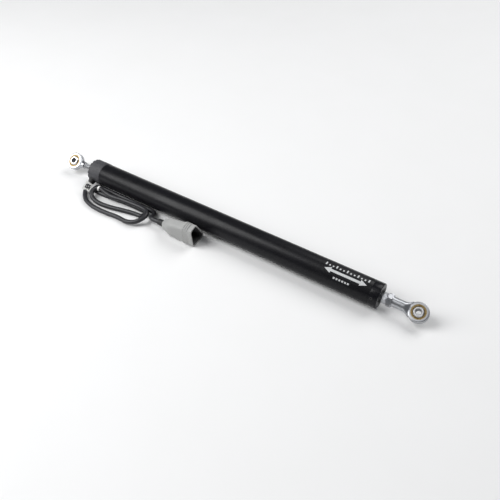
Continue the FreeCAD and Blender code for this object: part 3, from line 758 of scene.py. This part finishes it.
# -------- rod ends
EYE_R = 10.0
EYE_WIDTH = 6.75
EYE_EDGE = 0.9
RACE_R = 7.4
SEAT_R = RACE_R + 0.01
RACE_WIDTH = 6.3
BALL_R = 6.35
BALL_WIDTH = 9.0
EYE_BORE_R = 3.0
HEX_FLATS = 12.0
HEX_LENGTH = 5.3
NECK_END = 7.6  # from the eye's centre, inside the ring
NECK_SPREAD = 3.0
NECK_SPREAD_POWER = 1.8
ROUND = 2.0  # the power of a round section; more is boxier
NECK_BOXINESS = 2.2
X_TO_Z = Matrix.Rotation(-math.pi / 2, 4, "Y")


def eye_place(name, flip):
    """Matrix from a rod end's own frame, bore along Z and shank towards -X, to its place."""
    centre, axis = mount(name)
    roll = math.atan2(-axis.y, axis.z)
    place = Matrix.Translation(centre) @ Matrix.Rotation(roll, 4, "X")
    return place @ Matrix.Rotation(math.pi, 4, "Z") if flip else place


def eye_ring():
    half = EYE_WIDTH / 2
    outline = rounded([(-half, SEAT_R), (-half, EYE_R, EYE_EDGE), (half, EYE_R, EYE_EDGE),
                       (half, SEAT_R)], 5)
    return moved(revolve(outline, EYE_SEGMENTS), X_TO_Z)


def section_ring(x, half_y, half_z, power, count=64):
    """One rounded section across the shank."""
    points = []
    for i in range(count):
        angle = math.tau * i / count
        c, s = math.cos(angle), math.sin(angle)
        points.append((x, half_y * math.copysign(abs(c) ** (2 / power), c),
                       half_z * math.copysign(abs(s) ** (2 / power), s)))
    return points


def forged_neck(neck_r, start, end):
    """The round neck that spreads and flattens as it runs into the ring."""
    sections = [section_ring(-end, neck_r, neck_r, ROUND)]
    flat_half = EYE_WIDTH / 2 - 0.15
    steps = 14
    for i in range(steps + 1):
        share = i / steps
        ease = share * share * (3 - 2 * share)
        x = -start + (start - NECK_END) * share
        half_y = neck_r + NECK_SPREAD * share ** NECK_SPREAD_POWER
        half_z = neck_r + (flat_half - neck_r) * ease
        sections.append(section_ring(x, half_y, half_z, ROUND + NECK_BOXINESS * ease))
    return skin(sections)


def race_seat():
    """A bar as wide as the hole that a race sits in, to cut it."""
    reach = 15
    return moved(bar(-reach, reach, SEAT_R, EYE_SEGMENTS), X_TO_Z)


def make_front_rod_end():
    """The female rod end: a hexagon and a blind hole behind the neck."""
    place = eye_place("front_eye_bore", False)
    back = place.translation.x - node_box("front_rod_end_housing")[0].x
    neck_r, neck_start = 5.0, 14.5
    hole_depth, drill_depth = 19, 20.5
    body = combined(eye_ring(), forged_neck(neck_r, neck_start, back - 1.0), "UNION")
    hole = revolve([(-back - 1, 0), (-back - 1, THREAD_R), (-back + hole_depth, THREAD_R),
                    (-back + drill_depth, 0)], 48)
    body = combined(body, hole, "DIFFERENCE")
    body = combined(body, bored_hexagon(-back, -back + HEX_LENGTH, HEX_FLATS), "UNION")
    body = combined(body, race_seat(), "DIFFERENCE")
    piece("rod_end_front", moved(body, place), "zinc_plated", "rod", "front_rod_end_housing",
          slot="bright_steel")
    add_bearing("front", place, "rod", "front_ball")


def make_rear_rod_end():
    """The male rod end: a threaded stud behind the neck."""
    place = eye_place("rear_eye_bore", True)
    back = node_box("rear_rod_end_housing")[1].x - place.translation.x
    neck_r, neck_start, neck_end = 4.0, 12.5, 15.0
    chamfer, root = 0.5, -13.5
    thread = (-back + 0.4, -14.2)
    outline = [(-back, 0), (-back, THREAD_R - chamfer)]
    outline += [(x, THREAD_R) for x in thread_stations(*thread)]
    outline += [(root, THREAD_R), (root, 0)]
    body = combined(eye_ring(), forged_neck(neck_r, neck_start, neck_end), "UNION")
    body = combined(body, revolve(outline, 48, threaded(*thread)), "UNION")
    body = combined(body, race_seat(), "DIFFERENCE")
    piece("rod_end_rear", moved(body, place), "zinc_plated", "housing", "rear_rod_end_housing",
          slot="bright_steel")
    add_bearing("rear", place, "housing", "rear_ball")


def spherical(radius, half, steps):
    """Outline points of a sphere's surface from x = -half to half."""
    stations = [-half + 2 * half * i / steps for i in range(steps + 1)]
    return [(x, math.sqrt(radius ** 2 - x * x)) for x in stations]


def add_bearing(end, place, race_body, ball_body):
    """The brass race with turned grooves, and the steel ball in it, its bore painted dark as
    shade.
    """
    half, chamfer = RACE_WIDTH / 2, 0.15
    lip_r, groove_r, groove_half, groove_depth = 5.72, 6.3, 0.2, 0.25
    outline = [(half, RACE_R - chamfer), (half - chamfer, RACE_R), (-half + chamfer, RACE_R),
               (-half, RACE_R - chamfer), (-half, groove_r + groove_half),
               (-half + groove_depth, groove_r), (-half, groove_r - groove_half), (-half, lip_r)]
    outline += spherical(BALL_R + FIT_GAP, half - groove_depth, 12)
    outline += [(half, lip_r), (half, groove_r - groove_half), (half - groove_depth, groove_r),
                (half, groove_r + groove_half)]
    race = moved(moved(revolve(outline, EYE_SEGMENTS), X_TO_Z), place)
    piece("race_" + end, race, "race_brass", race_body, end + "_rod_end_race")

    edge, bevel = BALL_WIDTH / 2, 0.3
    outline = spherical(BALL_R, edge, 24)
    outline += [(edge, EYE_BORE_R + bevel), (edge - bevel, EYE_BORE_R),
                (-edge + bevel, EYE_BORE_R), (-edge, EYE_BORE_R + bevel)]
    ball = revolve(outline)
    # The bore's faces take the second, darker material: painted shade inside the bore.
    for face in ball.faces:
        if max(math.hypot(v.co.y, v.co.z) for v in face.verts) < EYE_BORE_R + 0.01:
            face.material_index = 1
    ball = piece("ball_" + end, moved(moved(ball, X_TO_Z), place), "polished_steel", ball_body,
                 end + "_rod_end_ball")
    ball.data.materials.append(LOOK["reamed_steel"])


# -------- cable
CABLE_R = 2.5
CABLE_EXIT = (-0.180000, -0.016539, 0.007230)
CABLE_ROUTE = [
    CABLE_EXIT,
    (-0.180000, -0.025560, 0.003947),
    (-0.1744, -0.0328, 0.0027),
    (-0.168, -0.0382, 0.0026),
    (-0.1595, -0.0414, 0.0026),
    (-0.148, -0.0433, 0.0026),
    (-0.132, -0.043, 0.0026),
    (-0.117, -0.041, 0.0026),
    (-0.1035, -0.0428, 0.003),
    (-0.093, -0.0402, 0.0054),
    (-0.087, -0.034, 0.008),
    (-0.0866, -0.0265, 0.009),
    (-0.091, -0.0206, 0.0089),
    (-0.1005, -0.019, 0.0084),
    (-0.114, -0.0192, 0.0077),
    (-0.128, -0.0202, 0.0076),
    (-0.141, -0.0224, 0.0076),
    (-0.152, -0.0212, 0.0079),
    (-0.159, -0.019, 0.0083),
    (-0.167, -0.02, 0.0083),
    (-0.1692, -0.0272, 0.0061),
    (-0.162, -0.033, 0.0031),
    (-0.15, -0.0348, 0.0026),
    (-0.136, -0.0334, 0.0026),
    (-0.12, -0.0296, 0.0026),
    (-0.108, -0.0269, 0.0026),
    (-0.1, -0.0263, 0.0026),
    (-0.0963, -0.0262, 0.0026),
    (-0.0937, -0.0235, 0.0026),
    (-0.0937, -0.02, 0.0026),
    (-0.0963, -0.0174, 0.0026),
    (-0.1, -0.0174, 0.0026),
    (-0.11, -0.0175, 0.0026),
    (-0.124, -0.0175, 0.0026),
    (-0.137, -0.0188, 0.0026),
    (-0.15, -0.02, 0.0026),
    (-0.16, -0.0203, 0.0026),
    (-0.1672, -0.0206, 0.0026),
    (-0.1707, -0.0205, 0.0026),
    (-0.1732, -0.0181, 0.0026),
    (-0.1732, -0.0147, 0.0026),
    (-0.1707, -0.0123, 0.0026),
    (-0.1672, -0.0123, 0.0026),
    (-0.155, -0.0122, 0.0026),
    (-0.14, -0.0124, 0.0026),
    (-0.124, -0.0121, 0.0026),
    (-0.108, -0.0123, 0.0026),
    (-0.096, -0.0122, 0.0026),
    (-0.0885, -0.013, 0.0029),
    (-0.0835, -0.017, 0.0042),
    (-0.082, -0.0228, 0.0064),
    (-0.08, -0.0272, 0.008),
    (-0.074865, -0.027611, 0.008300),
    (-0.069378, -0.027228, 0.008300),
]


def make_cable():
    curve = bpy.data.curves.new("cable_run", "CURVE")
    curve.dimensions = "3D"
    spline = curve.splines.new("NURBS")
    spline.points.add(len(CABLE_ROUTE) - 1)
    for control, place in zip(spline.points, CABLE_ROUTE):
        control.co = (*place, 1.0)
    spline.order_u = 3
    spline.use_endpoint_u = True
    spline.resolution_u = 16
    curve.bevel_depth = CABLE_R * MM
    curve.bevel_resolution = 7
    curve.use_fill_caps = True
    curve.materials.append(LOOK["cable_sheath"])
    obj = in_scene("cable_run", curve)
    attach(obj, "housing")
    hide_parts("cable")
    return obj


def curve_line(obj):
    """Points along a curve's own line, in millimetres."""
    bare = in_scene("bare_line", obj.data.copy())
    bare.data.bevel_depth = 0.0
    points = [v.co / MM for v in evaluated_mesh(bare).vertices]
    bpy.data.objects.remove(bare)
    return points


def place_on_line(points, near, up):
    """Frame on the line at its point nearest to near: local X along the cable."""
    index = min(range(2, len(points) - 2), key=lambda i: (points[i] - near).length)
    return facing(points[index], points[index + 2] - points[index - 2], up)


def make_gland():
    """The ribbed rubber boot that the cable leaves the cap through."""
    start, tip = 9.2, 17.6
    inner, plug = CABLE_R + FIT_GAP, GLAND_HOLE_R - FIT_GAP
    root, crest, collar = 0.12, 0.18, 0.25  # radii of the corners
    outline = rounded([
        (start, inner), (start, plug), (CAP_R + 0.3, plug), (CAP_R + 0.3, 4.2, collar),
        (CAP_R + 1.3, 4.2, collar), (CAP_R + 1.3, 3.45, root), (CAP_R + 1.7, 3.4, root),
        (CAP_R + 1.7, 3.95, crest), (CAP_R + 2.3, 3.9, crest), (CAP_R + 2.3, 3.3, root),
        (CAP_R + 2.7, 3.25, root), (CAP_R + 2.7, 3.8, crest), (CAP_R + 3.4, 3.75, crest),
        (CAP_R + 3.4, 3.1, root), (tip, 3.0, collar), (tip, inner)], 3)
    gland = moved(revolve(outline, 72), GLAND_PLACE)
    return piece("strain_relief", gland, "black_rubber", "housing", "cable_gland")


LABEL_LENGTH = 11.0
LABEL_WIDTH = 9.0
LABEL_FACING = (0.66, -0.19, 0.73)
LABEL_PAPER = 0.25
PRINT_CELLS = 6
PRINT_CELL = 1.0


def label_section(x, grow=0.0):
    """Outline across the label: flat on top, drawn in round the cable underneath."""
    top = CABLE_R + LABEL_PAPER + grow
    half = LABEL_WIDTH / 2 + grow
    edge, waist, waist_half = top - 0.45 - grow, top - 0.8 - grow, 2.1
    points = [(x, -half, top), (x, -half, edge), (x, -waist_half, waist)]
    arc_start, arc_turn, arc_steps = 155, 230, 14
    for i in range(arc_steps + 1):
        angle = math.radians(arc_start + arc_turn * i / arc_steps)
        points.append((x, top * math.cos(angle), top * math.sin(angle)))
    points += [(x, waist_half, waist), (x, half, edge), (x, half, top)]
    crown, steps = 0.06, 10
    for i in range(1, steps):
        rise = crown * math.sin(math.pi * i / steps)
        points.append((x, half - LABEL_WIDTH * i / steps, top + rise))
    return points


def make_label(line):
    low, high = node_box("cable_label")
    place = place_on_line(line, (low + high) / 2, LABEL_FACING)
    half, edge, shrink, steps = LABEL_LENGTH / 2, 0.12, -0.08, 10
    sections = [label_section(-half, shrink)]
    for i in range(steps + 1):
        sections.append(label_section(-half + edge + (LABEL_LENGTH - 2 * edge) * i / steps))
    sections.append(label_section(half, shrink))
    label = piece("cable_wrap_label", moved(skin(sections), place), "label_white", "housing",
                  "cable_label")
    patch = piece("label_print", moved(label_cells(), place), "label_print_ink", "housing",
                  slot="label_white")
    return [label, patch]


def label_cells():
    """A dark square of small blocks on the label, in a plain woven pattern."""
    start = -PRINT_CELLS * PRINT_CELL / 2
    foot, rise = CABLE_R + 0.27, 0.08
    blocks = []
    for i in range(PRINT_CELLS):
        for j in range(PRINT_CELLS):
            if (i * 3 + j * 5) % 7 == 0:
                continue
            x0, y0 = start + i * PRINT_CELL, start + j * PRINT_CELL
            x1, y1 = x0 + PRINT_CELL, y0 + PRINT_CELL
            blocks.append(skin([[(x0, y0, z), (x1, y0, z), (x1, y1, z), (x0, y1, z)]
                                for z in (foot, foot + rise)]))
    return joined(blocks)


def make_marker_band(line):
    low, high = node_box("cable_marker_band")
    place = place_on_line(line, (low + high) / 2, (0, 0, 1))
    half, outer, inner, edge = 1.1, 2.95, CABLE_R - FIT_GAP, 0.2
    outline = rounded([(-half, inner), (-half, outer, edge), (half, outer, edge),
                       (half, inner)], 3)
    return piece("marker_sleeve", moved(revolve(outline, 64), place), "label_white", "housing",
                 "cable_marker_band")


# -------- connector
SHELL_LENGTH = 41.5
SHELL_WALL = 1.6
TAIL_LENGTH = 9.0
MOUTH_START = 28.5
# (y, z) centres of the round corners, lower left first, and their radius
TAIL_SECTION = (((-2.1, 6.6), (1.9, 6.8), (-0.4, 12.2), (-3.0, 11.9)), 3.2)
SHOULDER_SECTION = (((-4.5, 4.2), (4.8, 4.2), (-1.7, 17.6), (-6.6, 17.0)), 3.2)
BODY_CORNERS = ((-5.9, 4.0), (7.0, 4.0), (-2.8, 21.3), (-7.9, 20.6))
BODY_SECTION = (BODY_CORNERS, 3.2)
MOUTH_SECTION = (BODY_CORNERS, 4.0)
RIB_SECTION = (((-5.9, 4.0), (7.0, 4.0), (-2.7, 21.9), (-7.97, 21.2)), 4.0)
CORNER_STEPS = 8
RIBS = 3
RIB_START = 30.2
RIB_PITCH = 2.4
RIB_WIDTH = 1.2
BOOT_PLUG = 3.0
INSERT_END = 18.0
# Thickness of the black sleeve inside the mouth, a painted shade.
SHADE_LINING_WALL = 0.75
LIP_WALL = 1.25
FLARE_START = 37.0
FLARE_END = 40.6
PIN_PLACES = ((-3.4, 6.4), (3.4, 6.4), (-5.2, 15.0))
PIN_R = 0.8
PIN_START = 11.0
PIN_LENGTH = 18.0
BOOT_LENGTH = 9.0
BOOT_HEIGHT = 8.3
BOOT_R = 3.6


def connector_place():
    """Matrix from the connector's own frame, rear wall at x = 0, to where it lies."""
    centre, axis = mount("connector_mouth")
    origin = centre - axis * SHELL_LENGTH
    return facing((origin.x, origin.y, 0), (axis.x, axis.y, 0))


def shell_ring(x, section, inset=0.0):
    """Points round a receptacle section at x, drawn inwards by the inset."""
    corners, radius = section
    centres = [Vector(corner) for corner in corners]
    points = []
    for i, centre in enumerate(centres):
        before = (centre - centres[i - 1]).normalized()
        after = (centres[(i + 1) % len(centres)] - centre).normalized()
        first = Vector((before.y, -before.x))
        turn = before.angle(after)
        for step in range(CORNER_STEPS + 1):
            angle = turn * step / CORNER_STEPS
            spoke = first * math.cos(angle) + before * math.sin(angle)
            points.append((x, *(centre + spoke * (radius - inset))))
    return points


def round_ring(x, radius, like):
    """A circle round the boot's axis, its points in the directions of another ring's."""
    points = []
    for _, y, z in like:
        spoke = Vector((y, z - BOOT_HEIGHT)).normalized() * radius
        points.append((x, spoke.x, BOOT_HEIGHT + spoke.y))
    return points


def between(share, first, second):
    """The ring at a share of the way from one ring to another."""
    return [tuple(Vector(p).lerp(Vector(q), share)) for p, q in zip(first, second)]


def tapered_ring(x, inset=0.0):
    """The body's outline between the shoulder and the mouth, drawn inwards by the inset."""
    share = (x - TAIL_LENGTH) / (MOUTH_START - TAIL_LENGTH)
    return between(share, shell_ring(TAIL_LENGTH, SHOULDER_SECTION, inset),
                   shell_ring(MOUTH_START, BODY_SECTION, inset))


def make_connector_shell(place):
    """Leaning receptacle: tapered tail and body, and a wider mouth with ribs across its top."""
    edge, bevel, foot = 0.35, 0.2, 0.1
    tail = shell_ring(0.0, TAIL_SECTION)
    shoulder = shell_ring(TAIL_LENGTH, SHOULDER_SECTION)
    sections = [round_ring(BOOT_PLUG, BOOT_R, tail), round_ring(0.0, BOOT_R, tail),
                shell_ring(0.0, TAIL_SECTION, edge)]
    sections += [between(share, tail, shoulder) for share in (0.04, 0.2, 0.5, 0.8, 0.96)]
    sections += [tapered_ring(x) for x in (TAIL_LENGTH + 0.4, 15.0, 22.0, MOUTH_START - 0.9,
                                           MOUTH_START - 0.2)]
    stations = [(MOUTH_START, MOUTH_SECTION, edge), (MOUTH_START + edge, MOUTH_SECTION)]
    for i in range(RIBS):
        start = RIB_START + RIB_PITCH * i
        end = start + RIB_WIDTH
        stations += [(start - foot, MOUTH_SECTION), (start, RIB_SECTION, bevel),
                     (start + bevel, RIB_SECTION), (end - bevel, RIB_SECTION),
                     (end, RIB_SECTION, bevel), (end + foot, MOUTH_SECTION)]
    stations += [(SHELL_LENGTH - edge, MOUTH_SECTION), (SHELL_LENGTH, MOUTH_SECTION, edge),
                 (SHELL_LENGTH, MOUTH_SECTION, LIP_WALL - bevel),
                 (SHELL_LENGTH - bevel, MOUTH_SECTION, LIP_WALL),
                 (FLARE_START, MOUTH_SECTION, LIP_WALL), (FLARE_START, BODY_SECTION, SHELL_WALL),
                 (MOUTH_START, BODY_SECTION, SHELL_WALL),
                 (TAIL_LENGTH, SHOULDER_SECTION, SHELL_WALL)]
    sections += [shell_ring(*station) for station in stations]
    return piece("receptacle", moved(skin(sections), place), "connector_grey", "housing",
                 "connector_shell")


def make_connector_insert(place):
    """The block that holds the pins, and a thin black sleeve lining the mouth in front of it:
    painted shade for the mouth's shadowed inside.
    """
    outer, front = SHELL_WALL + FIT_GAP, LIP_WALL + FIT_GAP
    inner, flare = outer + SHADE_LINING_WALL, FLARE_START + FIT_GAP
    sections = [tapered_ring(TAIL_LENGTH + FIT_GAP, outer)]
    sections += [shell_ring(*station) for station in (
        (MOUTH_START, BODY_SECTION, outer), (flare, BODY_SECTION, outer),
        (flare, MOUTH_SECTION, front), (FLARE_END, MOUTH_SECTION, front),
        (FLARE_END + 0.2, MOUTH_SECTION, front + 0.2), (FLARE_END, MOUTH_SECTION, front + 0.5),
        (FLARE_START, BODY_SECTION, inner), (MOUTH_START, BODY_SECTION, inner))]
    sections.append(tapered_ring(INSERT_END, inner))
    insert = skin(sections)
    for y, z in PIN_PLACES:
        hole = bar(-1, SHELL_LENGTH, PIN_R + HOLE_GAP, 24)
        insert = combined(insert, moved(hole, Matrix.Translation((0, y, z))), "DIFFERENCE")
    return piece("receptacle_insert", moved(insert, place), "connector_black", "housing",
                 "connector_insert")


def make_connector_pins(place):
    end = PIN_START + PIN_LENGTH
    tip, tip_r = end + 1.2, 0.3
    outline = rounded([(PIN_START, 0), (PIN_START, PIN_R), (end, PIN_R, 0.3), (tip, tip_r, 0.2),
                       (tip, 0)], 3)
    pins = [moved(revolve(outline, 24), Matrix.Translation((0, y, z))) for y, z in PIN_PLACES]
    return piece("receptacle_pins", moved(joined(pins), place), "contact_brass", "housing",
                 "connector_pins")


def make_connector_boot(place):
    """The tapered sleeve behind the receptacle, with shallow flexing grooves."""
    grooves, first, pitch, corner = 4, 1.2, 1.7, 0.1
    sleeve_r, plug_r, plug_end = CABLE_R + 0.7, BOOT_R - FIT_GAP, BOOT_PLUG - FIT_GAP
    outline = [(-BOOT_LENGTH, 0), (-BOOT_LENGTH, CABLE_R + 0.4), (-BOOT_LENGTH + 0.3, sleeve_r)]
    for i in range(grooves):
        x = -BOOT_LENGTH + first + pitch * i
        radius = sleeve_r + (BOOT_R - CABLE_R - 0.3) * (x + BOOT_LENGTH) / BOOT_LENGTH
        outline += [(x, radius, corner), (x + 0.25, radius - 0.3, corner),
                    (x + 0.7, radius - 0.3, corner), (x + 0.95, radius + 0.15, corner)]
    outline += [(-0.3, BOOT_R + 0.4, 0.2), (-FIT_GAP, BOOT_R + 0.2), (-FIT_GAP, plug_r),
                (plug_end, plug_r), (plug_end, 0)]
    boot = moved(revolve(rounded(outline, 3), 64), Matrix.Translation((0, 0, BOOT_HEIGHT)))
    return piece("receptacle_boot", moved(boot, place), "connector_black", "housing",
                 "connector_boot")


# -------- stage
CAMERA_AT = (0.2875, -0.394, 0.450)
CAMERA_AZIMUTH = math.radians(33)
CAMERA_ELEVATION = math.radians(44)
LENS = 44.28
FLOOR_REACH = 6.0
FLOOR_CELLS = 24
FILL_STRENGTH = 0.12


def make_camera():
    data = bpy.data.cameras.new("camera")
    data.lens = LENS
    data.sensor_width = 36.0
    data.clip_end = 20.0
    camera = in_scene("camera", data)
    camera.location = CAMERA_AT
    camera.rotation_euler = (math.pi / 2 - CAMERA_ELEVATION, 0, CAMERA_AZIMUTH)
    bpy.context.scene.camera = camera


def make_floor():
    bm = bmesh.new()
    bmesh.ops.create_grid(bm, x_segments=FLOOR_CELLS, y_segments=FLOOR_CELLS, size=FLOOR_REACH)
    mesh = to_mesh(bm, "floor")
    mesh.materials.append(LOOK["floor_paper"])
    floor = in_scene("floor", mesh)


def area_light(name, place, target, width, depth, power):
    """A rectangular light at a place, turned to face its target."""
    data = bpy.data.lights.new(name, "AREA")
    data.shape = "RECTANGLE"
    data.size = width
    data.size_y = depth
    data.energy = power
    light = in_scene(name, data)
    light.location = place
    direction = Vector(target) - Vector(place)
    light.rotation_euler = direction.to_track_quat("-Z", "Y").to_euler()


def make_lights():
    """Two softboxes, the one behind throwing the shadow forward, and a small panel overhead."""
    area_light("softbox_over", (-0.78, -0.62, 0.95), (-0.05, 0, 0), 0.8, 1.2, 17.5)
    area_light("softbox_behind", (0.45, 1.1, 1.4), (0, 0, 0), 1.3, 1.3, 18.6)
    area_light("ceiling_panel", (-0.05, -0.3, 1.3), (0.1, 0, 0), 0.7, 0.6, 1.2)


def make_world():
    """Faint light from all round; the camera sees a pale backdrop."""
    world = bpy.data.worlds.new("studio")
    world.use_nodes = True
    tree = world.node_tree
    fill = tree.nodes["Background"]
    fill.inputs["Color"].default_value = rgb(0.9, 0.94, 1.0)
    fill.inputs["Strength"].default_value = FILL_STRENGTH
    backdrop = tree.nodes.new("ShaderNodeBackground")
    backdrop.inputs["Color"].default_value = rgb(0.92, 0.92, 0.92)
    mix = tree.nodes.new("ShaderNodeMixShader")
    path = tree.nodes.new("ShaderNodeLightPath")
    tree.links.new(path.outputs["Is Camera Ray"], mix.inputs[0])
    tree.links.new(fill.outputs[0], mix.inputs[1])
    tree.links.new(backdrop.outputs[0], mix.inputs[2])
    tree.links.new(mix.outputs[0], tree.nodes["World Output"].inputs["Surface"])
    bpy.context.scene.world = world


# -------- build
dress_inner_nodes()
make_tube()
make_rear_cap()
make_front_cap()
make_set_screws()
make_seal()
make_retaining_ring()
make_tube_marking()
make_shaft()
make_jam_nut()
make_front_rod_end()
make_rear_rod_end()

cable = make_cable()
cable_line = curve_line(cable)
on_cable = [make_gland(), *make_label(cable_line), make_marker_band(cable_line), "cable_entry"]
connector = connector_place()
on_cable += [make_connector_shell(connector), make_connector_insert(connector),
             make_connector_pins(connector), make_connector_boot(connector)]

make_camera()
make_floor()
make_lights()
make_world()
bpy.context.scene.view_settings.view_transform = "Standard"
